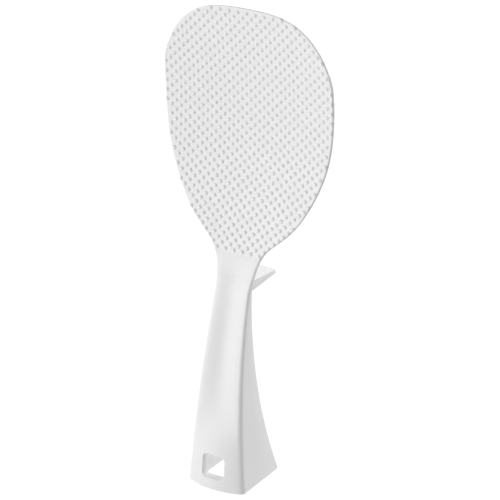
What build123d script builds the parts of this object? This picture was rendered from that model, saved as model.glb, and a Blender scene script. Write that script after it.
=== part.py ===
from build123d import *
import math
import os

# Overall sizes
overall_height = 198.6
blade_width = 77.0
neck_width = 15.8
foot_width = 26.6
foot_depth = 32.4

# Heights up the paddle, from the foot or from the middle of the neck
neck_height = 90.0
rim_sweep_drop = 11.0
tab_drop = 5.5
tab_root_thickness = 4.7
outline_drop = 5.0
neck_rise = 7.6
belly_rise = 59.0

# Front of the handle: it bulges at the foot and is slightly hollow from there to the blade
foot_crown = 2.1
neck_set_back = 10.76
set_back_power = 2.2
width_power = 1.35
foot_front_thickness = 2.5
neck_front_thickness = 2.1
foot_corner_radius = 2.4
neck_corner_radius = 0.9

# Side walls: moulded ribs that get thinner towards their rear rims
wall_root_thickness = 3.4
neck_wall_root_thickness = 2.6
outer_draft = 2.3
inner_draft = 1.8
upper_rim_set_back = 11.9
heel_radius = 1.2

# Window through the front wall, for hanging the paddle on a hook
window_bottom = 4.6
window_height = 10.3
window_width = 10.0
window_radius = 2.0

# Rest tab: it holds the blade off the table when the paddle lies on its back
tab_tip_thickness = 2.1
tab_tip_rise = 1.8
tab_tip_radius = 0.9
tab_corner_radius = 1.5

# Blade: a shallow spoon, hollow towards the front both along and across
neck_top_set_back = 10.93
belly_set_back = 19.63
tip_set_back = 13.7
neck_lean = 11.9
tip_lean = 9.6
cross_radius = 318.0
blade_root_thickness = 2.0
blade_tip_thickness = 1.2
rim_bevel = 0.35

# Outline above the neck, as shares of its rise and of the growth in half width
outline_height_shares = (0.070, 0.132, 0.169, 0.227, 0.319, 0.472, 0.693, 0.769, 0.857, 0.958, 0.987)
outline_width_shares = (0.037, 0.124, 0.250, 0.472, 0.697, 0.919, 0.998, 0.984, 0.880, 0.552, 0.303)

# Bulge and hollow of the handle's front, as shares of the blade's start and of the foot's crown
crown_height_shares = (0.0, 0.143, 0.215, 0.297, 0.379, 0.461, 0.564, 0.666, 0.768, 0.871, 0.953)
crown_size_shares = (1.0, 0.905, 0.619, 0.024, -0.310, -0.500, -0.595, -0.548, -0.405, -0.286, -0.200)
bulge_quarter_share = 0.75
hollow_quarter_share = 0.5
channel_station_shares = (0.0, 0.25, 0.5, 0.75, 1.0)
blade_station_shares = (0.0, 0.17, 0.34, 0.5, 0.66, 0.83, 1.0)
overrun = 3.0

rim_sweep_height = neck_height - rim_sweep_drop
tab_bottom = neck_height - tab_drop
outline_start = neck_height - outline_drop
blade_start = neck_height + neck_rise
belly_height = neck_height + belly_rise
front_line = foot_crown - foot_depth / 2
rear_line = foot_depth / 2
neck_half = neck_width / 2
foot_half = foot_width / 2
blade_half = blade_width / 2
tab_top = tab_bottom + tab_root_thickness


def between(foot_value, neck_value, height):
    """A size that changes evenly from the foot to the neck."""
    return foot_value + (neck_value - foot_value) * height / neck_height


def front_corner(height):
    """Where the corners of the handle's front lie at a height, front to back."""
    return front_line + neck_set_back * (height / neck_height) ** set_back_power


def front_back(height):
    """Where the rear face of the front wall lies at a height."""
    return front_corner(height) + between(foot_front_thickness, neck_front_thickness, height)


def handle_half_width(height):
    """Half the width of the handle below the neck."""
    return neck_half + (foot_half - neck_half) * (1 - height / neck_height) ** width_power


def upper_outline():
    """Front view of neck and blade as one smooth curve, from the right of the neck to the left."""
    rise = overall_height - outline_start
    right = [(handle_half_width(outline_start), outline_start)]
    for high, wide in zip(outline_height_shares, outline_width_shares):
        right.append((neck_half + (blade_half - neck_half) * wide, outline_start + rise * high))
    left = [(-across, height) for across, height in reversed(right)]
    return Spline(*right, (0, overall_height), *left)


def spine():
    """Middle line of the front face from the top of the tab to the blade's tip, in side view."""
    lower = (front_line + neck_top_set_back, tab_top)
    middle = (front_line + belly_set_back, belly_height)
    upper = (front_line + tip_set_back, overall_height)
    leaving = (math.tan(math.radians(neck_lean)), 1)
    arriving = (-math.tan(math.radians(tip_lean)), 1)
    return Spline(lower, middle, upper, tangents=[leaving, arriving])


def across_at_height(curve, height, end):
    """First coordinate where a curve that rises up to the given end share reaches the height."""
    low, high = 0.0, end
    for _ in range(30):
        middle = (low + high) / 2
        if (curve @ middle).Y < height:
            low = middle
        else:
            high = middle
    return (curve @ low).X


outline_curve = upper_outline()
spine_curve = spine()


def half_width(height):
    """Half the width of the whole front view at a height."""
    if height < outline_start:
        return handle_half_width(height)
    return across_at_height(outline_curve, height, 0.5)


def middle_of_blade(height):
    """Front to back place of the blade's front face on its middle line."""
    return across_at_height(spine_curve, height, 1)


def body_section(height, half, corner, corner_y, stand_out):
    """Closed wire across the handle: shaped front, twice bevelled corners, sides drawn in to the rear."""
    rear = rear_line + overrun
    drawn_in = (rear - corner_y) * math.tan(math.radians(outer_draft))
    inset = corner * (1 - math.sqrt(0.5))
    right = [
        (half - corner, corner_y, height),
        (half - inset, corner_y + inset, height),
        (half, corner_y + corner, height),
        (half - drawn_in, rear, height),
    ]
    left = [(-x, y, z) for x, y, z in right]
    around = [*right, *reversed(left)]
    sides = [Line(*ends) for ends in zip(around, around[1:])]
    quarter_share = bulge_quarter_share if stand_out > 0 else hollow_quarter_share
    quarter_y = corner_y - stand_out * quarter_share
    quarter = (half - corner) / 2
    front = Spline(
        left[0],
        (-quarter, quarter_y, height),
        (0, corner_y - stand_out, height),
        (quarter, quarter_y, height),
        right[0],
    )
    return Wire([front, *sides])


def make_body():
    """Solid outer form of the handle and neck, open to be cut at the rear."""
    sections = []
    for height_share, size_share in zip(crown_height_shares, crown_size_shares):
        height = blade_start * height_share
        corner = between(foot_corner_radius, neck_corner_radius, height)
        stand_out = foot_crown * size_share
        sections.append(
            body_section(height, half_width(height), corner, front_corner(height), stand_out)
        )
    half = half_width(blade_start)
    rise = (half - rim_bevel) ** 2 / (2 * cross_radius)
    corner_y = middle_of_blade(blade_start) - rise
    sections.append(body_section(blade_start, half, rim_bevel, corner_y, -rise))
    return Solid.make_loft(sections)


def side_view_block(points_or_edges, half_span):
    """Block cut to a side-view outline, as wide as twice the half span."""
    face = Plane.YZ * make_face(points_or_edges)
    return extrude(face, half_span, both=True)


def make_front_zone():
    """Everything in front of the rear face of the handle's front wall."""
    heights = [tab_top * share for share in channel_station_shares]
    back_line = Spline(*[(front_back(height), height) for height in heights])
    front_edge = front_line - foot_crown - overrun
    outline = [
        back_line,
        Polyline(back_line @ 1, (front_edge, tab_top), (front_edge, 0), back_line @ 0),
    ]
    return side_view_block(outline, foot_half + overrun)


def make_rear_limit():
    """Everything in front of the rear rims of the side walls, seen from the side."""
    upper_rim = front_line + upper_rim_set_back
    sweep = Bezier(
        (rear_line, 0), (upper_rim, rim_sweep_height / 2), (upper_rim, rim_sweep_height)
    )
    front_edge = front_line - foot_crown - overrun
    rest = Polyline(sweep @ 1, (upper_rim, tab_top), (front_edge, tab_top), (front_edge, 0), sweep @ 0)
    block = side_view_block([sweep, rest], foot_half + overrun)
    heel = block.edges().filter_by(Axis.X).sort_by(Axis.Y)[-1]
    return fillet(heel, heel_radius)


def make_channel():
    """Open hollow of the handle, from the foot to the tab and out to the rear."""
    sections = []
    for share in channel_station_shares:
        height = share * outline_start
        start = front_back(height)
        rear = rear_line + overrun
        root = between(wall_root_thickness, neck_wall_root_thickness, height)
        half = handle_half_width(height) - root
        half_rear = half + (rear - start) * math.tan(math.radians(inner_draft))
        sections.append(
            Wire.make_polygon(
                [
                    (-half, start - overrun, height),
                    (half, start - overrun, height),
                    (half_rear, rear, height),
                    (-half_rear, rear, height),
                ]
            )
        )
    return Solid.make_loft(sections)


def make_window():
    """Rounded square hole through the front wall near the foot."""
    middle = Plane.XZ * Location((0, window_bottom + window_height / 2))
    outline = middle * RectangleRounded(window_width, window_height, window_radius)
    return extrude(outline, foot_depth, both=True)


def make_tab():
    """Drafted tab that reaches back from the neck, as wide as the neck."""
    tip = rear_line
    root = front_line
    outline = Polyline(
        (root, tab_bottom),
        (front_line + upper_rim_set_back, tab_bottom),
        (tip, tab_bottom + tab_tip_rise),
        (tip, tab_bottom + tab_tip_rise + tab_tip_thickness),
        (front_line + upper_rim_set_back, tab_top),
        (root, tab_top),
        close=True,
    )
    block = side_view_block([outline], neck_half)
    corners = block.edges().filter_by(Axis.Z).sort_by(Axis.Y)[-2:]
    block = fillet(corners, tab_corner_radius)
    tip_edges = block.edges().filter_by(Axis.X).sort_by(Axis.Y)[-2:]
    return fillet(tip_edges, tab_tip_radius)


def blade_band(share, front_extra, start, span):
    """Closed wire across the blade: two level arcs that are one plate thickness apart."""
    height = start + share * (overall_height - start)
    middle_y = middle_of_blade(height)
    rise_share = max(0, (height - blade_start) / (overall_height - blade_start))
    thickness = blade_root_thickness + (blade_tip_thickness - blade_root_thickness) * rise_share
    rise = span**2 / (2 * cross_radius)
    front_y = middle_y - front_extra
    back_y = middle_y + thickness
    front = ThreePointArc(
        (-span, front_y - rise, height), (0, front_y, height), (span, front_y - rise, height)
    )
    back = ThreePointArc(
        (span, back_y - rise, height), (0, back_y, height), (-span, back_y - rise, height)
    )
    return Wire([front, Line(front @ 1, back @ 0), back, Line(back @ 1, front @ 0)])


def make_blade_slab(front_extra):
    """Curved plate that is wider than the blade, from the top of the tab to the tip."""
    bands = [
        blade_band(share, front_extra, tab_top, blade_half + overrun) for share in blade_station_shares
    ]
    return Solid.make_loft(bands)


def make_front_view_block():
    """Front view of neck and blade, as a block from front to rear."""
    rear_plane = Plane.XZ.offset(-foot_depth)
    face = rear_plane * make_face([outline_curve, Line(outline_curve @ 1, outline_curve @ 0)])
    return extrude(face, 2 * foot_depth)


def level_slice(solid, low, high):
    """The part of a solid between two heights."""
    width = blade_width + 2 * overrun
    depth = 2 * foot_depth
    block = Box(width, depth, high - low, align=(Align.CENTER, Align.CENTER, Align.MIN))
    return solid & (Location((0, 0, low)) * block)


def make_blade():
    """Spoon blade: the curved plate cut to the front view, with its rim bevelled."""
    plate = level_slice(make_blade_slab(0) & make_front_view_block(), blade_start, overall_height)
    rims = [edge for edge in plate.edges() if edge.length > blade_width]
    return chamfer(rims, rim_bevel)


def make_parts():
    """Every piece of the paddle by name."""
    body = make_body()
    front_zone = make_front_zone()
    front_wall = level_slice(body & front_zone, 0, tab_top) - make_window()
    tab = make_tab() - front_zone
    shell = level_slice(body, 0, tab_bottom) - front_zone - make_channel()
    ribs = (shell & make_rear_limit()).solids().sort_by(Axis.X)
    neck_zone = make_blade_slab(foot_depth)
    neck = level_slice(body & neck_zone, tab_top, blade_start)
    plate = make_blade()
    return {
        "front_wall": front_wall,
        "left_wall": ribs[0],
        "right_wall": ribs[-1],
        "rest_tab": tab,
        "neck": neck,
        "blade": plate,
    }


parts = make_parts()
os.makedirs("parts", exist_ok=True)
for name, shape in parts.items():
    print(name, len(shape.solids()), round(shape.volume, 1), shape.bounding_box())
    export_step(shape, f"parts/{name}.step")
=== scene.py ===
"""Dresses the rice paddle: a white polypropylene moulding with a nubbed spoon blade.

The handle, the rest tab, the blade and the two fields of nubs are modelled here at the sizes of
the CAD frame. All form sizes are in millimetres and become metres when a mesh is placed.
"""
import logging
import math
from collections.abc import Callable
from dataclasses import dataclass, field
from enum import Enum

import bmesh
import bpy
import numpy as np
from mathutils import Matrix, Vector


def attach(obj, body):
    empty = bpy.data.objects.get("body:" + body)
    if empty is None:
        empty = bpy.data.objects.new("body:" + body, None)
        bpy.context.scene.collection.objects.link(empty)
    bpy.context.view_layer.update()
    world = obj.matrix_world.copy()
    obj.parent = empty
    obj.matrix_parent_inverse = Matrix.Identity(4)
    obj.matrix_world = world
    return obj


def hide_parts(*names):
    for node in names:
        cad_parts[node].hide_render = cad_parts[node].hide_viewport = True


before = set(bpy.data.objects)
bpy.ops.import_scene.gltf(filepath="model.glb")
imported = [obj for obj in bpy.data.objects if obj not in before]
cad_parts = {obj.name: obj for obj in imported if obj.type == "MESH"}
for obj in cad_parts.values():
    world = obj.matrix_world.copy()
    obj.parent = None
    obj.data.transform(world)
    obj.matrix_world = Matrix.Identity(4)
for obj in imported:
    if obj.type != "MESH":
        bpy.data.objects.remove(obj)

LOG = logging.getLogger("rice_paddle")
MM = 0.001
BODY = "root"
# Handle length of a Bezier curve that stands in for a quarter circle, as a share of its radius
ARC_PULL = 0.55
# Keeps a division from zero
TINY = 1e-12


def clear_selection() -> None:
    """Leaves edit mode and deselects everything, because operators act on all that is selected."""
    if bpy.context.object is not None and bpy.context.object.mode != "OBJECT":
        bpy.ops.object.mode_set(mode="OBJECT")
    bpy.ops.object.select_all(action="DESELECT")
    bpy.context.tool_settings.mesh_select_mode = (True, False, False)


def make_active(piece: bpy.types.Object) -> None:
    """Selects one piece alone and makes it the active object."""
    clear_selection()
    piece.select_set(True)
    bpy.context.view_layer.objects.active = piece


def select_edges(mesh: bpy.types.Mesh, wanted: Callable[[bmesh.types.BMEdge], bool]) -> None:
    """Selects just the edges that meet a test.

    It works in edge mode, because in vertex mode two chosen corners also select the edge between.

    Args:
        mesh: The mesh that is open in edit mode.
        wanted: The test, given each edge in turn.
    """
    bpy.ops.mesh.select_mode(type="EDGE")
    bpy.ops.mesh.select_all(action="DESELECT")
    sheet = bmesh.from_edit_mesh(mesh)
    sheet.normal_update()
    for edge in sheet.edges:
        if wanted(edge):
            edge.select = True
    sheet.select_flush_mode()
    bmesh.update_edit_mesh(mesh)


def linear_rgba(hex_colour: str) -> tuple[float, float, float, float]:
    """Turns an sRGB hex colour into the linear colour that shaders take.

    Args:
        hex_colour: Six hex digits, such as "ECECEA".

    Returns:
        Linear red, green, blue and an alpha of one.
    """
    channels = [int(hex_colour[i : i + 2], 16) / 255 for i in (0, 2, 4)]
    linear = [c / 12.92 if c <= 0.04045 else ((c + 0.055) / 1.055) ** 2.4 for c in channels]
    return (*linear, 1.0)


def smooth_curve(points: list[tuple[float, float]], steps: int) -> np.ndarray:
    """Runs a natural cubic spline through plane points.

    Args:
        points: The points that the curve passes.
        steps: How many even pieces each span is cut into.

    Returns:
        Points along the curve, one row each.
    """
    knots = np.array(points, float)
    spans = np.linalg.norm(np.diff(knots, axis=0), axis=1)
    at = np.r_[0, np.cumsum(spans)]
    count = len(knots)
    system = np.eye(count)
    right = np.zeros((count, 2))
    for i in range(1, count - 1):
        before, after = spans[i - 1], spans[i]
        system[i, i - 1 : i + 2] = before, 2 * (before + after), after
        right[i] = 6 * ((knots[i + 1] - knots[i]) / after - (knots[i] - knots[i - 1]) / before)
    bend = np.linalg.solve(system, right)
    rows = []
    for i in range(count - 1):
        share = np.linspace(0, 1, steps, endpoint=False)[:, None]
        span = spans[i]
        rest = 1 - share
        rows.append(
            rest * knots[i] + share * knots[i + 1]
            + span**2 / 6 * ((rest**3 - rest) * bend[i] + (share**3 - share) * bend[i + 1])
        )
    return np.vstack([*rows, knots[-1:]])


def hermite(
    at: np.ndarray, start: float, span: float, ends: tuple[float, float], slopes: tuple[float, float]
) -> np.ndarray:
    """Cubic curve between two values with given end slopes.

    Args:
        at: Places to evaluate.
        start: Where the span starts.
        span: How long it is.
        ends: Values at its two ends.
        slopes: Slopes at its two ends.

    Returns:
        The curve's values.
    """
    t = (at - start) / span
    return (
        (2 * t**3 - 3 * t**2 + 1) * ends[0] + (t**3 - 2 * t**2 + t) * span * slopes[0]
        + (3 * t**2 - 2 * t**3) * ends[1] + (t**3 - t**2) * span * slopes[1]
    )


def soft_interp(at: float, places: tuple[float, ...], sizes: tuple[float, ...]) -> float:
    """A size that runs smoothly and without overshoot between given places.

    Args:
        at: Where the size is wanted.
        places: Rising places.
        sizes: The size at each place.

    Returns:
        The size there.
    """
    runs = np.diff(places)
    rates = np.diff(sizes) / runs
    product = rates[:-1] * rates[1:]
    inner = np.where(product > 0, 2 * product / (rates[:-1] + rates[1:] + TINY), 0)
    slopes = np.r_[0, inner, rates[-1]]
    index = int(np.clip(np.searchsorted(places, at) - 1, 0, len(runs) - 1))
    ends = (sizes[index], sizes[index + 1])
    turns = (slopes[index], slopes[index + 1])
    return float(hermite(np.array(at), places[index], runs[index], ends, turns))


def bezier(knots: list[tuple[float, float]], share: float) -> tuple[float, float]:
    """A point on a cubic Bezier curve in a plane.

    Args:
        knots: Its start, its two handles and its end.
        share: How far along it the point is, from zero to one.

    Returns:
        The point.
    """
    rest = 1 - share
    weights = (rest**3, 3 * rest**2 * share, 3 * rest * share**2, share**3)
    return (
        sum(weight * knot[0] for weight, knot in zip(weights, knots)),
        sum(weight * knot[1] for weight, knot in zip(weights, knots)),
    )


@dataclass(frozen=True)
class PaddleForm:
    """Sizes and surfaces that all pieces share, in millimetres, as the CAD solids have them."""

    height: float = 198.6
    blade_half: float = 38.5
    neck_half: float = 7.9
    foot_half: float = 13.3
    foot_crown: float = 2.1
    foot_depth: float = 32.4
    crown_heights: tuple[float, ...] = (
        0.0, 14.0, 21.0, 29.0, 37.0, 45.0, 55.0, 65.0, 75.0, 85.0, 93.0, 97.6,
    )
    crown_sizes: tuple[float, ...] = (
        2.1, 1.9, 1.3, 0.05, -0.65, -1.05, -1.25, -1.15, -0.85, -0.6, -0.42, -0.17,
    )
    neck_height: float = 90.0
    neck_set_back: float = 10.76
    set_back_power: float = 2.2
    width_power: float = 1.35
    outline_start: float = 85.0
    hollow_height: float = 80.0
    tab_bottom: float = 84.5
    tab_top: float = 89.2
    blade_start: float = 97.6
    belly_height: float = 149.0
    front_thickness: tuple[float, float] = (2.5, 2.1)
    corner_radius: tuple[float, float] = (2.4, 0.9)
    wall_root: tuple[float, float] = (3.4, 2.6)
    outer_draft: float = 2.3
    inner_draft: float = 1.8
    upper_rim: float = 11.9
    rim_sweep_height: float = 79.0
    spine_set_back: tuple[float, float, float] = (10.93, 19.63, 13.7)
    neck_lean: float = 11.9
    tip_lean: float = 9.6
    cross_radius: float = 318.0
    blade_thickness: tuple[float, float] = (2.0, 1.2)
    rim_rounding: float = 0.5
    height_shares: tuple[float, ...] = (
        0.070, 0.132, 0.169, 0.227, 0.319, 0.472, 0.693, 0.769, 0.857, 0.958, 0.987,
    )
    width_shares: tuple[float, ...] = (
        0.037, 0.124, 0.250, 0.472, 0.697, 0.919, 0.998, 0.984, 0.880, 0.552, 0.303,
    )
    outline_steps: int = 24

    @property
    def front_line(self) -> float:
        """Where the front corners of the foot lie, front to back."""
        return self.foot_crown - self.foot_depth / 2

    def outline(self) -> np.ndarray:
        """Front view of neck and blade: right edge, top, left edge, as (across, height) rows."""
        rise = self.height - self.outline_start
        growth = self.blade_half - self.neck_half
        right = [(self.handle_half(self.outline_start), self.outline_start)]
        for high, wide in zip(self.height_shares, self.width_shares):
            right.append((self.neck_half + growth * wide, self.outline_start + rise * high))
        left = [(-across, height) for across, height in reversed(right)]
        return smooth_curve([*right, (0, self.height), *left], self.outline_steps)

    def handle_half(self, height: float) -> float:
        """Half the width of the handle below the neck."""
        share = max(0.0, 1 - height / self.neck_height)
        return self.neck_half + (self.foot_half - self.neck_half) * share**self.width_power

    def half_width(self, height: float) -> float:
        """Half the width of the front view at a height."""
        if height < self.outline_start:
            return self.handle_half(height)
        rim = self.right_rim()
        return float(np.interp(height, rim[:, 1], rim[:, 0]))

    def right_rim(self) -> np.ndarray:
        """Right half of the front view's outline, from the neck up to the top."""
        return self.outline()[: self.outline_steps * (len(self.height_shares) + 1)]

    def between(self, ends: tuple[float, float], height: float) -> float:
        """A size that changes evenly from the foot to the neck."""
        return ends[0] + (ends[1] - ends[0]) * height / self.neck_height

    def corner_y(self, height: float) -> float:
        """Front to back place of the front's side corners."""
        share = height / self.neck_height
        return self.front_line + self.neck_set_back * share**self.set_back_power

    def spine(self, height: np.ndarray) -> np.ndarray:
        """Front to back place of the blade's middle line, two cubic spans that meet at the belly."""
        knots = (self.tab_top, self.belly_height, self.height)
        first, second = knots[1] - knots[0], knots[2] - knots[1]
        low, mid, high = self.spine_set_back
        start = math.tan(math.radians(self.neck_lean))
        end = -math.tan(math.radians(self.tip_lean))
        pull = 3 * ((mid - low) / first**2 + (high - mid) / second**2)
        middle = (pull - start / first - end / second) / (2 / first + 2 / second)
        lower = hermite(height, knots[0], first, (low, mid), (start, middle))
        upper = hermite(height, knots[1], second, (mid, high), (middle, end))
        return self.front_line + np.where(height < knots[1], lower, upper)

    def blade_front(self, across: np.ndarray, height: np.ndarray) -> np.ndarray:
        """Front to back place of the blade's front face."""
        return self.spine(height) - across**2 / (2 * self.cross_radius)

    def blade_plate(self, height: np.ndarray) -> np.ndarray:
        """Thickness of the blade at a height."""
        share = np.clip((height - self.blade_start) / (self.height - self.blade_start), 0, 1)
        return self.blade_thickness[0] + (self.blade_thickness[1] - self.blade_thickness[0]) * share


def add_node(
    tree: bpy.types.NodeTree, kind: str, inputs: dict[str | int, object], **settings: object
) -> bpy.types.ShaderNode:
    """Adds one shader node with its settings, values and links.

    Args:
        tree: The node tree of a material, a world or a lamp.
        kind: The node's type name.
        inputs: A value or an output socket for each named or numbered input.
        **settings: Properties of the node itself.

    Returns:
        The new node.
    """
    node = tree.nodes.new(kind)
    for name, value in settings.items():
        setattr(node, name, value)
    for name, value in inputs.items():
        if isinstance(value, bpy.types.NodeSocket):
            tree.links.new(value, node.inputs[name])
        else:
            node.inputs[name].default_value = value
    return node


@dataclass(frozen=True)
class MouldedPolypropylene:
    """White polypropylene, injection moulded in a fine matt tool: soft sheen, milky edges."""

    name: str = "white_polypropylene_moulded"
    colour: str = "F0F0F0"
    flow_colour: str = "EDEDEE"
    roughness: tuple[float, float] = (0.40, 0.50)
    refraction: float = 1.49
    flow_width: float = 22.0
    tool_patch: float = 5.0
    milkiness: float = 0.15
    glow_depth: float = 1.5
    grit: float = 0.45
    grit_depth: float = 0.012

    def build(self) -> bpy.types.Material:
        """Makes the material.

        Returns:
            The finished material.
        """
        material = bpy.data.materials.new(self.name)
        material.use_nodes = True
        tree = material.node_tree
        tree.nodes.clear()
        place = add_node(tree, "ShaderNodeTexCoord", {}).outputs["Object"]
        # Melt that cooled at different times gives slow, faint changes of tone
        flow = add_node(
            tree, "ShaderNodeTexNoise",
            {"Vector": place, "Scale": 1 / (self.flow_width * MM), "Detail": 2.0, "Roughness": 0.4},
        )
        tone = add_node(
            tree, "ShaderNodeMix",
            {0: flow.outputs["Fac"], 6: linear_rgba(self.colour), 7: linear_rgba(self.flow_colour)},
            data_type="RGBA",
        )
        # The tool is polished by hand, so its sheen changes in patches
        patches = add_node(
            tree, "ShaderNodeTexNoise",
            {"Vector": place, "Scale": 1 / (self.tool_patch * MM), "Detail": 3.0},
        )
        sheen = add_node(
            tree, "ShaderNodeMapRange",
            {"Value": patches.outputs["Fac"], "To Min": self.roughness[0], "To Max": self.roughness[1]},
        )
        # Spark-eroded grit of the tool, drawn a little coarser than real so that it shows
        grit = add_node(
            tree, "ShaderNodeTexNoise",
            {"Vector": place, "Scale": 1 / (self.grit * MM), "Detail": 2.0, "Roughness": 0.6},
        )
        relief = add_node(
            tree, "ShaderNodeBump",
            {"Height": grit.outputs["Fac"], "Strength": 0.5, "Distance": self.grit_depth * MM},
        )
        surface = add_node(
            tree, "ShaderNodeBsdfPrincipled",
            {
                "Base Color": tone.outputs[2],
                "Roughness": sheen.outputs["Result"],
                "IOR": self.refraction,
                "Normal": relief.outputs["Normal"],
                "Subsurface Weight": self.milkiness,
                "Subsurface Radius": (1, 1, 1),
                "Subsurface Scale": self.glow_depth * MM,
            },
        )
        add_node(tree, "ShaderNodeOutputMaterial", {"Surface": surface.outputs["BSDF"]})
        return material


@dataclass
class Moulding:
    """What every piece of the moulding shares: its form, its finish and the way it is ended."""

    form: PaddleForm
    finish: bpy.types.Material

    def start_ring(self, name: str, ring: list[Vector]) -> bpy.types.Object:
        """Starts a closed form from a filled circle that is set to its first section.

        Args:
            name: Name of the piece.
            ring: Points of the first section, in order, in millimetres.

        Returns:
            The piece, in edit mode, with its face selected.
        """
        clear_selection()
        bpy.ops.mesh.primitive_circle_add(vertices=len(ring), radius=MM, fill_type="NGON")
        piece = bpy.context.object
        piece.name = name
        piece.data.name = name
        bpy.ops.object.mode_set(mode="EDIT")
        bpy.ops.mesh.select_all(action="SELECT")
        sheet = bmesh.from_edit_mesh(piece.data)
        sheet.verts.ensure_lookup_table()
        for vertex, point in zip(sheet.verts, ring):
            vertex.co = point * MM
        bmesh.update_edit_mesh(piece.data)
        return piece

    def raise_rings(self, piece: bpy.types.Object, rings: list[list[Vector]]) -> None:
        """Extrudes the selected face up, section by section, and sets each to its points.

        Args:
            piece: The piece in edit mode.
            rings: Points of each further section, in the first one's order.
        """
        order = list(range(len(rings[0])))
        for ring in rings:
            bpy.ops.mesh.extrude_region_move(TRANSFORM_OT_translate={"value": (0, 0, MM)})
            sheet = bmesh.from_edit_mesh(piece.data)
            sheet.verts.ensure_lookup_table()
            above = []
            for index, point in zip(order, ring):
                partner = next(
                    edge.other_vert(sheet.verts[index])
                    for edge in sheet.verts[index].link_edges
                    if edge.other_vert(sheet.verts[index]).select
                )
                partner.co = point * MM
                above.append(partner.index)
            order = above
            bmesh.update_edit_mesh(piece.data)

    def loft(self, name: str, rings: list[list[Vector]]) -> bpy.types.Object:
        """Makes a closed form through sections.

        Args:
            name: Name of the piece.
            rings: Points of each section, in millimetres.

        Returns:
            The piece in object mode.
        """
        piece = self.start_ring(name, rings[0])
        self.raise_rings(piece, rings[1:])
        bpy.ops.mesh.select_all(action="SELECT")
        bpy.ops.mesh.normals_make_consistent(inside=False)
        bpy.ops.object.mode_set(mode="OBJECT")
        return piece

    def end_piece(self, piece: bpy.types.Object, *nodes: str, angle: float = 32.0) -> None:
        """Shades a piece, gives it its finish and sets it on the CAD body.

        Args:
            piece: The piece in object mode.
            *nodes: The CAD nodes that it stands for.
            angle: Edges sharper than this many degrees stay crisp.
        """
        make_active(piece)
        bpy.ops.object.shade_smooth_by_angle(angle=math.radians(angle))
        piece.data.materials.clear()
        piece.data.materials.append(self.finish)
        if nodes:
            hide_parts(*nodes)
        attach(piece, BODY)
        LOG.info("%s: %d faces", piece.name, len(piece.data.polygons))


class Face(Enum):
    """The two faces of a wall or plate, with the way from each outwards, front to back."""

    FRONT = -1
    REAR = 1


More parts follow.
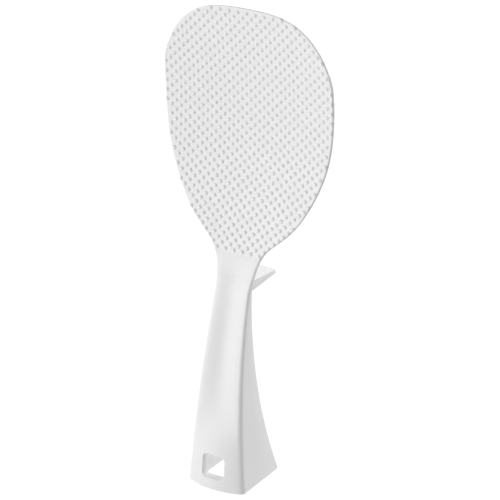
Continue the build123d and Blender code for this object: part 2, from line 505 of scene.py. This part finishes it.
@dataclass
class Handle(Moulding):
    """Drafted channel: a crowned front wall with a window, two side ribs, and the neck above."""

    front_rows: int = 60
    rib_rows: int = 56
    neck_rows: int = 8
    front_steps: int = 24
    corner_steps: int = 6
    side_steps: int = 2
    back_steps: int = 12
    turn_steps: int = 4
    rib_edge: float = 0.45
    least_rib: float = 0.02
    heel_radius: float = 1.2
    heel_heights: tuple[float, ...] = (0.0, 0.09, 0.35, 0.75, 1.2)
    window_bottom: float = 4.6
    window_size: tuple[float, float] = (10.0, 10.3)
    window_radius: float = 2.0
    window_edge: float = 0.45
    window_steps: int = 6
    flare_steps: int = 3
    flare_start: float = 1.05

    def corner_radius(self, height: float) -> float:
        """Radius of the front's side corners, down to the blade's rim at the top of the neck."""
        form = self.form
        plain = form.between(form.corner_radius, height)
        share = self.neck_share(height)
        return plain + (form.rim_rounding - plain) * share

    def neck_share(self, height: float) -> float:
        """How far a section has turned from the handle's form into the blade's."""
        form = self.form
        share = (height - form.hollow_height) / (form.blade_start - form.hollow_height)
        share = min(1.0, max(0.0, share))
        return share * share * (3 - 2 * share)

    def corner_y(self, height: float) -> float:
        """Where the front corners lie, front to back, on the handle and on the neck."""
        form = self.form
        plain = form.corner_y(height)
        share = self.neck_share(height)
        if share == 0:
            return plain
        half = form.half_width(height) - form.rim_rounding
        blade = float(form.blade_front(np.array(half), np.array(height)))
        return plain + (blade - plain) * share

    def crown(self, height: float) -> float:
        """How far the middle of the front stands out past its corners."""
        return soft_interp(height, self.form.crown_heights, self.form.crown_sizes)

    def floor_y(self, height: float) -> float:
        """Rear face of the front wall."""
        return self.form.corner_y(height) + self.form.between(self.form.front_thickness, height)

    def rim_y(self, height: float) -> float:
        """Rear rim of the side ribs, with the rounded heel at the foot."""
        form = self.form
        upper = form.front_line + form.upper_rim
        share = max(0.0, 1 - height / form.rim_sweep_height)
        rim = upper + (form.foot_depth / 2 - upper) * share * share
        if height < self.heel_radius:
            drop = self.heel_radius - height
            rim -= self.heel_radius - math.sqrt(self.heel_radius**2 - drop**2)
        return rim

    def outer_x(self, height: float, at: float) -> float:
        """Half the width of the section at a place front to back: the sides draw in to the rear."""
        form = self.form
        start = self.corner_y(height) + self.corner_radius(height)
        draft = math.tan(math.radians(form.outer_draft)) * (1 - self.neck_share(height))
        return form.half_width(height) - max(0.0, at - start) * draft

    def inner_x(self, height: float, at: float) -> float:
        """Half the width of the channel at a place front to back."""
        form = self.form
        root = form.between(form.wall_root, height)
        draft = math.tan(math.radians(form.inner_draft))
        return form.half_width(height) - root + (at - self.floor_y(height)) * draft

    def front_at(self, across: float, height: float) -> float:
        """Front to back place of the front face between its corners."""
        share = across / (self.form.half_width(height) - self.corner_radius(height))
        crown = self.crown(height)
        bulge = 1 - share**2 if crown > 0 else (1 + math.cos(math.pi * share)) / 2
        return self.corner_y(height) - crown * bulge

    def front_edge(self, height: float) -> list[tuple[float, float]]:
        """Front of a section from its left side round to its right side.

        Args:
            height: Height of the section.

        Returns:
            Points as (across, front to back) pairs.
        """
        radius = self.corner_radius(height)
        half = self.form.half_width(height)
        span = half - radius
        corner_y = self.corner_y(height)
        slope = 2 * max(0.0, self.crown(height)) / span
        pull = ARC_PULL * radius
        length = math.hypot(1, slope)
        knots = [
            (span, corner_y),
            (span + pull / length, corner_y + pull * slope / length),
            (half, corner_y + radius - pull),
            (half, corner_y + radius),
        ]
        right = [bezier(knots, step / self.corner_steps) for step in range(1, self.corner_steps + 1)]
        middle = [
            (across, self.front_at(across, height))
            for across in np.linspace(-span, span, self.front_steps + 1)
        ]
        left = [(-across, at) for across, at in reversed(right)]
        return [*left, *middle, *right]

    def front_ring(self, height: float) -> list[Vector]:
        """Closed section of the front wall."""
        front = self.front_edge(height)
        floor = self.floor_y(height)
        start = front[-1][1]
        places = np.linspace(start, floor, self.side_steps + 1)[1:]
        sides = [(self.outer_x(height, at), at) for at in places]
        width = sides[-1][0]
        back = [(across, floor) for across in np.linspace(width, -width, self.back_steps + 1)[1:-1]]
        left = [(-across, at) for across, at in reversed(sides)]
        return [Vector((x, y, height)) for x, y in [*front, *sides, *back, *left]]

    def neck_ring(self, height: float) -> list[Vector]:
        """Closed section of the neck, whose rear face is the blade's."""
        form = self.form
        front = self.front_edge(height)
        plate = float(form.blade_plate(np.array(height)))
        width = self.outer_x(height, front[-1][1])
        radius = form.rim_rounding

        def back_at(across: float) -> float:
            return float(form.blade_front(np.array(across), np.array(height))) + plate

        rear = back_at(width - radius)
        turn = [
            (width - radius * (1 - math.cos(angle)), rear - radius * (1 - math.sin(angle)))
            for angle in np.linspace(0, math.pi / 2, self.turn_steps + 1)
        ]
        back = [
            (across, back_at(across))
            for across in np.linspace(width - radius, radius - width, self.back_steps + 1)[1:-1]
        ]
        left = [(-across, at) for across, at in reversed(turn)]
        return [Vector((x, y, height)) for x, y in [*front, *turn, *back, *left]]

    def rib_ring(self, height: float, side: int) -> list[Vector]:
        """Closed section of one side rib, with its rear rim rounded."""
        floor = self.floor_y(height)
        rim = max(self.rim_y(height), floor + self.least_rib)
        edge = min(self.rib_edge, (rim - floor) / 2)
        rearward = np.linspace(floor, rim - edge, self.side_steps + 1)
        forward = np.linspace(rim - edge, floor, self.side_steps + 1)
        outer = [(self.outer_x(height, at), at) for at in rearward]
        inner = [(self.inner_x(height, at), at) for at in forward]
        out_x, in_x = outer[-1][0], inner[0][0]
        out_turn, in_turn = [], []
        for angle in np.linspace(0, math.pi / 2, self.turn_steps + 1)[1:]:
            sweep = edge * (1 - math.cos(angle))
            reach = rim - edge + edge * math.sin(angle)
            out_turn.append((out_x - sweep, reach))
            in_turn.append((in_x + sweep, reach))
        loop = [*outer, *out_turn, *reversed(in_turn), *inner]
        return [Vector((side * x, y, height)) for x, y in loop]

    def foot_heights(self, top: float, rows: int) -> list[float]:
        """Section heights, close together at the foot where the heel is round."""
        return [*self.heel_heights, *np.linspace(self.heel_heights[-1], top, rows)[1:]]

    def window_cutter(self) -> bpy.types.Object:
        """Block for the window, flared where it leaves the wall so that the hole's edges are soft."""
        flare = self.flare()
        rings = [self.window_ring(growth, depth, Face.FRONT) for growth, depth in flare]
        rings += [self.window_ring(growth, depth, Face.REAR) for growth, depth in reversed(flare)]
        return self.loft("window_cutter", rings)

    def window_ring(self, growth: float, depth: float, face: Face) -> list[Vector]:
        """Outline of the window at one depth in the wall.

        Args:
            growth: How much wider than the window it is, to each side.
            depth: How far it lies below the wall's face, as a share of the soft edge.
            face: The face of the wall that the depth starts from.

        Returns:
            Points round the four corners.
        """
        wide, high = self.window_size
        middle = self.window_bottom + high / 2
        radius = self.window_radius + growth
        ring = []
        for corner, (side, rise) in enumerate(((1, 1), (-1, 1), (-1, -1), (1, -1))):
            turn_x = side * (wide / 2 - self.window_radius)
            turn_z = rise * (high / 2 - self.window_radius)
            for step in range(self.window_steps + 1):
                angle = math.pi / 2 * (corner + step / self.window_steps)
                across = turn_x + radius * math.cos(angle)
                height = middle + turn_z + radius * math.sin(angle)
                if face is Face.FRONT:
                    at = self.front_at(across, height) + depth * self.window_edge
                else:
                    at = self.floor_y(height) - depth * self.window_edge
                ring.append(Vector((across, at, height)))
        return ring

    def flare(self) -> list[tuple[float, float]]:
        """Growth of the window's outline by depth: from outside the wall, round its edge, inwards."""
        edge = self.window_edge
        steps = [
            (edge * (1 - math.sin(angle)), 1 - math.cos(angle))
            for angle in np.linspace(0, math.pi / 2, self.flare_steps + 1)
        ]
        return [(edge * self.flare_start, -1.0), *steps]

    def cut_window(self, wall: bpy.types.Object) -> None:
        """Cuts the window through the front wall."""
        cutter = self.window_cutter()
        make_active(wall)
        cut = wall.modifiers.new("window", "BOOLEAN")
        cut.object = cutter
        cut.operation = "DIFFERENCE"
        cut.solver = "EXACT"
        bpy.ops.object.modifier_apply(modifier=cut.name)
        make_active(cutter)
        bpy.ops.object.delete()

    def build(self) -> None:
        """Makes the front wall, the two ribs and the neck."""
        form = self.form
        front_heights = self.foot_heights(form.tab_top, self.front_rows)
        wall = self.loft("handle_front", [self.front_ring(height) for height in front_heights])
        self.cut_window(wall)
        self.end_piece(wall, "front_wall")
        rib_heights = self.foot_heights(form.tab_bottom, self.rib_rows)
        for side, name, node in (
            (-1, "handle_left_rib", "left_wall"), (1, "handle_right_rib", "right_wall"),
        ):
            rib = self.loft(name, [self.rib_ring(height, side) for height in rib_heights])
            self.end_piece(rib, node)
        neck_heights = np.linspace(form.tab_top, form.blade_start, self.neck_rows + 1)
        neck = self.loft("handle_neck", [self.neck_ring(float(height)) for height in neck_heights])
        self.end_piece(neck, "neck")


class TabEdges(Enum):
    """The tab's edges that are rounded in one go."""

    UPRIGHT = "upright corners of the tip"
    OUTER = "rims of the top and of the underside"


@dataclass
class RestTab(Moulding):
    """Flat tab behind the neck that holds the blade off the table."""

    root_depth: float = 1.2
    tip_thickness: float = 1.8
    tip_rise: float = 2.0
    corner: float = 0.8
    corner_steps: int = 6
    edge: float = 0.3
    edge_steps: int = 3
    flat: float = 0.9

    def build(self) -> None:
        """Shapes the tab from a cube: its far end is thinned, then its edges are rounded."""
        form = self.form
        root = form.front_line + form.neck_set_back + self.root_depth
        tip = form.foot_depth / 2
        clear_selection()
        bpy.ops.mesh.primitive_cube_add(size=2 * MM)
        tab = bpy.context.object
        tab.name = "handle_rest_tab"
        tab.data.name = tab.name
        bpy.ops.object.mode_set(mode="EDIT")
        sheet = bmesh.from_edit_mesh(tab.data)
        tip_bottom = form.tab_bottom + self.tip_rise
        for vertex in sheet.verts:
            rear = vertex.co.y > 0
            low = tip_bottom if rear else form.tab_bottom
            high = tip_bottom + self.tip_thickness if rear else form.tab_top
            vertex.co = Vector((
                math.copysign(form.neck_half, vertex.co.x),
                tip if rear else root,
                high if vertex.co.z > 0 else low,
            )) * MM
        bmesh.update_edit_mesh(tab.data)
        self.round_edges(tab, TabEdges.UPRIGHT, self.corner, self.corner_steps)
        self.round_edges(tab, TabEdges.OUTER, self.edge, self.edge_steps)
        bpy.ops.mesh.select_all(action="SELECT")
        bpy.ops.mesh.normals_make_consistent(inside=False)
        bpy.ops.object.mode_set(mode="OBJECT")
        self.end_piece(tab, "rest_tab")

    def round_edges(self, tab: bpy.types.Object, which: TabEdges, radius: float, steps: int) -> None:
        """Bevels one set of the tab's edges.

        Args:
            tab: The tab in edit mode.
            which: The edges to round.
            radius: Width of the bevel in millimetres.
            steps: Number of its facets.
        """
        depths = [vertex.co.y for vertex in bmesh.from_edit_mesh(tab.data).verts]
        root = min(depths)
        tip = max(depths)

        def wanted(edge: bmesh.types.BMEdge) -> bool:
            start, end = (vertex.co for vertex in edge.verts)
            if which is TabEdges.UPRIGHT:
                return abs(start.z - end.z) > MM and min(start.y, end.y) > tip - MM
            flats = sum(abs(face.normal.z) > self.flat for face in edge.link_faces)
            return flats == 1 and max(start.y, end.y) > root + MM

        select_edges(tab.data, wanted)
        bpy.ops.mesh.bevel(offset=radius * MM, segments=steps, profile=0.5, affect="EDGES")


@dataclass
class Blade(Moulding):
    """Shallow spoon: a plate that is hollow to the front both ways, with a rounded rim."""

    columns: int = 72
    rows: int = 96
    side_share: float = 0.62
    foot_gap: float = 0.01
    sharp_turn: float = 50.0
    rim_steps: int = 4
    merge_gap: float = 0.002
    rim_lean: float = 0.6
    # Painted shade along the rim: a darker copy of the finish. Its higher roughness and coarser grit are
    # real surface settings.
    painted_shade_rim_finish: bpy.types.Material = field(
        default_factory=lambda: MouldedPolypropylene(
            name="white_polypropylene_painted_rim_shade", colour="DFDFDF", flow_colour="DCDCDC",
            roughness=(0.55, 0.65), grit_depth=0.03,
        ).build()
    )

    def flat_grid(self) -> np.ndarray:
        """Front view of the plate as a grid of (across, height), fitted between its four sides.

        Returns:
            An array of rows by columns by two.
        """
        outline = self.form.outline()
        start = self.form.blade_start
        keep = np.where(outline[:, 1] >= start)[0]
        rim = outline[keep[0] - 1 : keep[-1] + 2].copy()
        # The first and last points move along their spans to the blade's very foot
        for end, inner in ((0, 1), (-1, -2)):
            share = (start - rim[end, 1]) / (rim[inner, 1] - rim[end, 1])
            rim[end] += (rim[inner] - rim[end]) * share
        steps = np.r_[0, np.cumsum(np.linalg.norm(np.diff(rim, axis=0), axis=1))]
        total = steps[-1]

        def along(shares: np.ndarray) -> np.ndarray:
            return np.stack([np.interp(shares * total, steps, rim[:, axis]) for axis in (0, 1)], 1)

        side = self.side_share / 2
        up = np.linspace(0, 1, self.rows + 1)
        over = np.linspace(0, 1, self.columns + 1)
        right = along(up * side)
        left = along(1 - up * side)
        top = along(1 - side - over * (1 - 2 * side))
        half = rim[0, 0]
        foot = np.stack([half * (2 * over - 1), np.full_like(over, start)], 1)
        u, v = over[None, :, None], up[:, None, None]
        ruled = (1 - u) * left[:, None] + u * right[:, None]
        lifted = (1 - v) * foot[None] + v * top[None]
        corners = (
            (1 - u) * (1 - v) * foot[0] + u * (1 - v) * foot[-1]
            + (1 - u) * v * top[0] + u * v * top[-1]
        )
        return ruled + lifted - corners

    def build(self) -> None:
        """Makes the plate from a grid: set to the spoon, thickened to the rear, rim rounded."""
        form = self.form
        clear_selection()
        bpy.ops.mesh.primitive_grid_add(
            x_subdivisions=self.columns, y_subdivisions=self.rows, size=2 * MM
        )
        plate = bpy.context.object
        plate.name = "spoon_blade"
        plate.data.name = plate.name
        bpy.ops.object.mode_set(mode="EDIT")
        bpy.ops.mesh.select_all(action="SELECT")
        sheet = bmesh.from_edit_mesh(plate.data)
        sheet.verts.ensure_lookup_table()
        flat = self.flat_grid().reshape(-1, 2)
        front = form.blade_front(flat[:, 0], flat[:, 1])
        for vertex, (across, height), at in zip(sheet.verts, flat, front):
            vertex.co = Vector((across, at, height)) * MM
        bmesh.update_edit_mesh(plate.data)
        bpy.ops.mesh.extrude_region_move(TRANSFORM_OT_translate={"value": (0, 0, 0)})
        sheet = bmesh.from_edit_mesh(plate.data)
        for vertex in sheet.verts:
            if vertex.select:
                vertex.co.y += float(form.blade_plate(np.array(vertex.co.z / MM))) * MM
        bpy.ops.mesh.select_all(action="SELECT")
        bpy.ops.mesh.normals_make_consistent(inside=False)
        foot = (form.blade_start + self.foot_gap) * MM
        sharp = math.radians(self.sharp_turn)
        select_edges(
            plate.data,
            lambda edge: edge.calc_face_angle() > sharp
            and max(vertex.co.z for vertex in edge.verts) > foot,
        )
        bpy.ops.mesh.bevel(
            offset=form.rim_rounding * MM, segments=self.rim_steps, profile=0.5, affect="EDGES",
            clamp_overlap=False,
        )
        bpy.ops.mesh.select_all(action="SELECT")
        bpy.ops.mesh.remove_doubles(threshold=self.merge_gap * MM)
        bpy.ops.object.mode_set(mode="OBJECT")
        self.end_piece(plate, "blade")
        # Painted shade: the rim faces get a darker, rougher copy of the finish. The darker colour stands
        # in for the shade that falls along the rim.
        plate.data.materials.append(self.painted_shade_rim_finish)
        for face in plate.data.polygons:
            if abs(face.normal.y) < self.rim_lean and face.center.z > foot:
                face.material_index = 1


@dataclass
class NubField(Moulding):
    """Low round nubs that rice doesn't stick to, on a square grid turned by 45 degrees."""

    step: float = 1.982
    first_row: float = 99.45
    edge_margin: float = 0.35
    rim_gap: float = 0.25
    radius: float = 1.22
    rise: float = 0.6
    sides: int = 10
    sunk: float = 0.06
    dome_shares: tuple[float, ...] = (0.2, 0.4, 0.6, 0.8)
    probe: float = 0.05
    crisp_angle: float = 60.0

    def places(self) -> list[tuple[float, float]]:
        """Grid places that lie inside the blade's outline.

        Returns:
            (across, height) pairs.
        """
        form = self.form
        outline = form.outline()
        starts, ends = outline[:-1], outline[1:]
        runs = ends - starts
        places = []
        rows = int((form.height - self.first_row) / self.step) + 1
        columns = int(form.blade_half / self.step) + 1
        for row in range(rows):
            height = self.first_row + row * self.step
            half = form.half_width(height)
            for column in range(-columns, columns + 1):
                across = column * self.step
                if (row + column) % 2 == 0 or abs(across) > half:
                    continue
                spot = np.array((across, height))
                share = np.clip(((spot - starts) * runs).sum(1) / (runs**2).sum(1), 0, 1)
                gap = np.linalg.norm(starts + runs * share[:, None] - spot, axis=1).min()
                if gap > self.edge_margin:
                    places.append((across, height))
        return places

    def model_nub(self) -> bpy.types.Object:
        """One nub on the origin, pointing up: a disc raised and drawn in by steps to a soft cone.

        Returns:
            The nub in object mode.
        """
        clear_selection()
        bpy.ops.mesh.primitive_circle_add(
            vertices=self.sides, radius=self.radius * MM, fill_type="NGON",
            location=(0, 0, -self.sunk * MM),
        )
        nub = bpy.context.object
        bpy.ops.object.transform_apply(location=True, rotation=False, scale=False)
        bpy.ops.object.mode_set(mode="EDIT")
        bpy.ops.mesh.select_all(action="SELECT")
        whole = self.rise + self.sunk
        shrunk = 1.0
        risen = 0.0
        for share in self.dome_shares:
            level = whole * (1 - math.cos(share * math.pi)) / 2
            width = 1 - share
            bpy.ops.mesh.extrude_region_move(
                TRANSFORM_OT_translate={"value": (0, 0, (level - risen) * MM)}
            )
            bpy.ops.transform.resize(
                value=(width / shrunk, width / shrunk, 1), center_override=(0, 0, 0)
            )
            shrunk, risen = width, level
        bpy.ops.mesh.poke(offset=(whole - risen) * MM)
        bpy.ops.mesh.select_all(action="SELECT")
        bpy.ops.mesh.normals_make_consistent(inside=False)
        bpy.ops.object.mode_set(mode="OBJECT")
        return nub

    def seat(self, across: float, height: float, face: Face) -> Matrix:
        """Place and lean of a nub, square to the face of the plate that it sits on."""
        form = self.form

        def surface(x: float, z: float) -> float:
            at = float(form.blade_front(np.array(x), np.array(z)))
            if face is Face.REAR:
                at += float(form.blade_plate(np.array(z)))
            return at

        probe = self.probe
        lean_x = (surface(across + probe, height) - surface(across - probe, height)) / (2 * probe)
        lean_z = (surface(across, height + probe) - surface(across, height - probe)) / (2 * probe)
        outward = Vector((-lean_x, 1, -lean_z)).normalized() * face.value
        point = Vector((across, surface(across, height), height)) * MM
        return Matrix.Translation(point) @ outward.to_track_quat("Z", "Y").to_matrix().to_4x4()

    def trim(self, mesh: bpy.types.Mesh, rim: np.ndarray) -> None:
        """Pulls what would stand out over the blade's rounded rim back inside it.

        Args:
            mesh: The nub's mesh, in its place.
            rim: Right half of the blade's outline.
        """
        for vertex in mesh.vertices:
            height = min(vertex.co.z / MM, self.form.height - self.rim_gap)
            half = float(np.interp(height, rim[:, 1], rim[:, 0])) - self.rim_gap
            vertex.co.z = height * MM
            vertex.co.x = math.copysign(min(half, abs(vertex.co.x / MM)), vertex.co.x) * MM

    def build(self) -> None:
        """Copies the nub to every place of the grid, on either face of the blade."""
        places = self.places()
        rim = self.form.right_rim()
        nub = self.model_nub()
        for face, name in ((Face.FRONT, "nubs_front"), (Face.REAR, "nubs_rear")):
            copies = []
            for across, height in places:
                copy = nub.copy()
                copy.data = nub.data.copy()
                copy.data.transform(self.seat(across, height, face))
                self.trim(copy.data, rim)
                bpy.context.collection.objects.link(copy)
                copies.append(copy)
            clear_selection()
            for copy in copies:
                copy.select_set(True)
            bpy.context.view_layer.objects.active = copies[0]
            bpy.ops.object.join()
            nubs = bpy.context.object
            nubs.name = name
            nubs.data.name = name
            self.end_piece(nubs, angle=self.crisp_angle)
            LOG.info("%s: %d nubs", name, len(places))
        make_active(nub)
        bpy.ops.object.delete()


@dataclass
class Studio:
    """Pale floor, white surround, soft light from the left front and from behind, and the camera."""

    camera_place: tuple[float, float, float] = (0.437589, -0.714871, 0.427161)
    yaw: float = 31.183
    pitch: float = 21.332
    roll: float = 1.7825
    focal_share: float = 2262.507 / 500
    sensor: float = 36.0
    clip: tuple[float, float] = (0.05, 20.0)
    floor_size: float = 6.0
    floor_colour: str = "808080"
    floor_glow: float = 0.52
    floor_lift: float = 0.42
    ambient: float = 0.28
    aim_height: float = 0.1
    lamp_distance: float = 1.6
    lamp_size: float = 1.0
    key_turn: float = -38.5
    key_rise: float = 2.0
    key_power: float = 23.6
    rear_turn: float = 156.0
    rear_rise: float = 40.0
    rear_power: float = 20.5

    def camera_matrix(self) -> Matrix:
        """World matrix of the camera from its place and its three turns."""
        yaw, pitch, roll = (math.radians(angle) for angle in (self.yaw, self.pitch, self.roll))
        level = math.cos(pitch)
        ahead = Vector((-math.sin(yaw) * level, math.cos(yaw) * level, -math.sin(pitch)))
        right = Vector((math.cos(yaw), math.sin(yaw), 0))
        up = right.cross(ahead)
        turned = math.cos(roll) * right + math.sin(roll) * up
        risen = math.cos(roll) * up - math.sin(roll) * right
        matrix = Matrix((turned, risen, -ahead)).transposed().to_4x4()
        matrix.translation = self.camera_place
        return matrix

    def add_camera(self) -> None:
        """Adds the camera and makes it the scene's."""
        lens = bpy.data.cameras.new("photo_camera")
        lens.sensor_width = self.sensor
        lens.lens = self.focal_share * self.sensor
        lens.clip_start, lens.clip_end = self.clip
        camera = bpy.data.objects.new("photo_camera", lens)
        camera.matrix_world = self.camera_matrix()
        bpy.context.collection.objects.link(camera)
        bpy.context.scene.camera = camera

    def seen_ray(self, tree: bpy.types.NodeTree) -> bpy.types.NodeSocket:
        """One where a ray comes from the camera, a reflection or a transmission, else zero."""
        path = add_node(tree, "ShaderNodeLightPath", {})
        both = add_node(
            tree, "ShaderNodeMath",
            {0: path.outputs["Is Camera Ray"], 1: path.outputs["Is Glossy Ray"]}, operation="MAXIMUM",
        )
        every = add_node(
            tree, "ShaderNodeMath",
            {0: both.outputs[0], 1: path.outputs["Is Transmission Ray"]}, operation="MAXIMUM",
        )
        return every.outputs[0]

    def add_floor(self) -> None:
        """Adds the floor: paper that looks white to the camera and keeps the object's shadow."""
        clear_selection()
        bpy.ops.mesh.primitive_plane_add(size=self.floor_size)
        floor = bpy.context.object
        floor.name = "studio_floor"
        material = bpy.data.materials.new("matt_white_paper")
        material.use_nodes = True
        tree = material.node_tree
        tree.nodes.clear()
        paper = add_node(
            tree, "ShaderNodeBsdfDiffuse", {"Color": linear_rgba(self.floor_colour), "Roughness": 1.0}
        )
        lift = add_node(
            tree, "ShaderNodeMath",
            {0: self.seen_ray(tree), 1: self.floor_lift, 2: self.floor_glow}, operation="MULTIPLY_ADD",
        )
        glow = add_node(
            tree, "ShaderNodeEmission", {"Color": (1, 1, 1, 1), "Strength": lift.outputs[0]}
        )
        both = add_node(tree, "ShaderNodeAddShader", {0: paper.outputs[0], 1: glow.outputs[0]})
        add_node(tree, "ShaderNodeOutputMaterial", {"Surface": both.outputs[0]})
        floor.data.materials.append(material)

    def add_surround(self) -> None:
        """Sets the world: white where it is seen, and a plain even light elsewhere."""
        world = bpy.data.worlds.new("studio_surround")
        world.use_nodes = True
        tree = world.node_tree
        tree.nodes.clear()
        level = add_node(
            tree, "ShaderNodeMapRange",
            {"Value": self.seen_ray(tree), "To Min": self.ambient, "To Max": 1.0},
        )
        light = add_node(
            tree, "ShaderNodeBackground", {"Color": (1, 1, 1, 1), "Strength": level.outputs["Result"]}
        )
        add_node(tree, "ShaderNodeOutputWorld", {"Surface": light.outputs[0]})
        bpy.context.scene.world = world

    def add_soft_box(self, name: str, turn: float, rise: float, power: float) -> None:
        """Adds one large soft box that faces the paddle's middle.

        Args:
            name: Name of the lamp.
            turn: Degrees to the right of straight in front.
            rise: Degrees above level.
            power: Power in watts.
        """
        light = bpy.data.lights.new(name, "AREA")
        light.size = self.lamp_size
        light.energy = power
        box = bpy.data.objects.new(name, light)
        turn, rise = math.radians(turn), math.radians(rise)
        way = Vector((math.sin(turn) * math.cos(rise), -math.cos(turn) * math.cos(rise), math.sin(rise)))
        place = Vector((0, 0, self.aim_height)) + way * self.lamp_distance
        box.matrix_world = Matrix.Translation(place) @ way.to_track_quat("Z", "Y").to_matrix().to_4x4()
        bpy.context.collection.objects.link(box)

    def build(self) -> None:
        """Sets up the whole studio."""
        self.add_camera()
        self.add_floor()
        self.add_surround()
        self.add_soft_box("soft_box_front", self.key_turn, self.key_rise, self.key_power)
        self.add_soft_box("soft_box_rear", self.rear_turn, self.rear_rise, self.rear_power)
        bpy.context.scene.view_settings.view_transform = "Standard"


def main() -> None:
    """Builds the paddle's pieces in order, then the studio."""
    logging.basicConfig(level=logging.INFO, format="%(name)s %(message)s")
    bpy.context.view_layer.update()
    form = PaddleForm()
    finish = MouldedPolypropylene().build()
    for maker in (Handle, RestTab, Blade, NubField):
        maker(form, finish).build()
    Studio().build()
    clear_selection()


if __name__ == "__main__":
    main()
